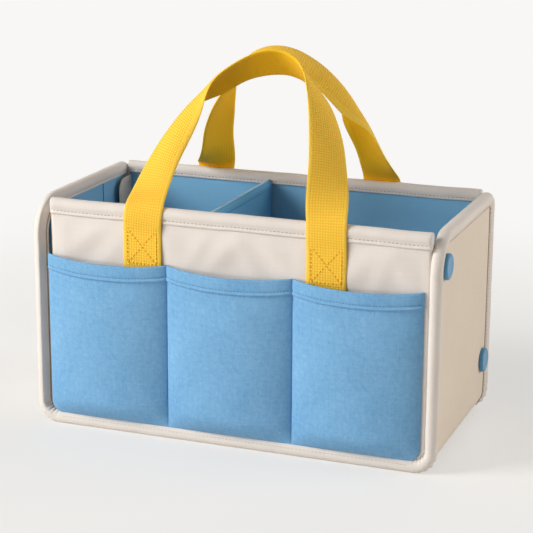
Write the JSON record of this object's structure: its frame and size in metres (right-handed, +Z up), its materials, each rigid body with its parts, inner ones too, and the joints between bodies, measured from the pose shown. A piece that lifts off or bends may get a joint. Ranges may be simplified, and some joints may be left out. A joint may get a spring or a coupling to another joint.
{
  "type": "toy carry caddy",
  "caption": "Fabric carry caddy with snapped stiff ends, soft walls, pockets along the front, webbing handles and a lift-out divider.",
  "frame": {"origin": "centre of the base's underside, on the surface that the caddy stands on", "axes": "+X to the right seen from the front, along the width; front towards -Y; +Z up"},
  "size_m": [0.3194, 0.1676, 0.2902],
  "materials": {
    "canvas": "cream cotton canvas",
    "binding": "cream bias binding, rolled and stitched",
    "pocket": "brushed blue canvas",
    "lining": "blue woven lining",
    "webbing": "yellow cotton webbing, ribbed",
    "snap": "moulded blue plastic, satin",
    "board": "plain stiffener board",
    "padding": "needled felt padding",
    "hook": "blue hook tape"
  },
  "bodies": {
    "body": {"base_cover": "canvas", "base_board": "board", "base_lining": "lining", "base_binding_front": "binding", "base_binding_back": "binding", "right_corner_fold": "binding", "left_corner_fold": "binding", "front_canvas": "canvas", "front_padding": "padding", "front_lining": "lining", "front_hem": "canvas", "front_right_flap": "canvas", "front_left_flap": "canvas", "back_canvas": "canvas", "back_padding": "padding", "back_lining": "lining", "back_hem": "canvas", "back_right_flap": "canvas", "back_left_flap": "canvas", "right_top_snap_stud": "snap", "right_top_snap_inner_cap": "snap", "right_low_snap_stud": "snap", "right_low_snap_inner_cap": "snap", "left_top_snap_stud": "snap", "left_top_snap_inner_cap": "snap", "left_low_snap_stud": "snap", "left_low_snap_inner_cap": "snap", "pocket_left": "pocket", "pocket_centre": "pocket", "pocket_right": "pocket", "front_left_anchor": "webbing", "front_right_anchor": "webbing", "back_left_anchor": "webbing", "back_right_anchor": "webbing"},
    "right_end": {"right_cover": "canvas", "right_board": "board", "right_lining": "lining", "right_binding": "binding", "right_top_snap_cap": "snap", "right_top_snap_socket": "snap", "right_low_snap_cap": "snap", "right_low_snap_socket": "snap"},
    "left_end": {"left_cover": "canvas", "left_board": "board", "left_lining": "lining", "left_binding": "binding", "left_top_snap_cap": "snap", "left_top_snap_socket": "snap", "left_low_snap_cap": "snap", "left_low_snap_socket": "snap"},
    "front_loop": {"front_handle": "webbing"},
    "back_loop": {"back_handle": "webbing"},
    "divider": {"divider_cover": "pocket", "divider_board": "board", "divider_front_tab": "pocket", "divider_back_tab": "pocket", "divider_front_hook": "hook", "divider_back_hook": "hook"}
  },
  "joints": [
    {"name": "right_end_fold", "type": "hinge", "parent": "body", "child": "right_end", "pos_m": [0.15055, 0, 0.00695], "axis": [0, 1, 0], "range_deg": [0, 85], "deforming": ["right_corner_fold"]},
    {"name": "left_end_fold", "type": "hinge", "parent": "body", "child": "left_end", "pos_m": [-0.15055, 0, 0.00695], "axis": [0, -1, 0], "range_deg": [0, 85], "deforming": ["left_corner_fold"]},
    {"name": "front_handle_swing", "type": "hinge", "parent": "body", "child": "front_loop", "pos_m": [0, -0.0791, 0.17215], "axis": [1, 0, 0], "range_deg": [0, 170]},
    {"name": "back_handle_swing", "type": "hinge", "parent": "body", "child": "back_loop", "pos_m": [0, 0.0791, 0.17215], "axis": [-1, 0, 0], "range_deg": [0, 170]},
    {"name": "divider_lift", "type": "slide", "parent": "body", "child": "divider", "axis": [0, 0, 1], "range_m": [0, 0.08]}
  ]
}
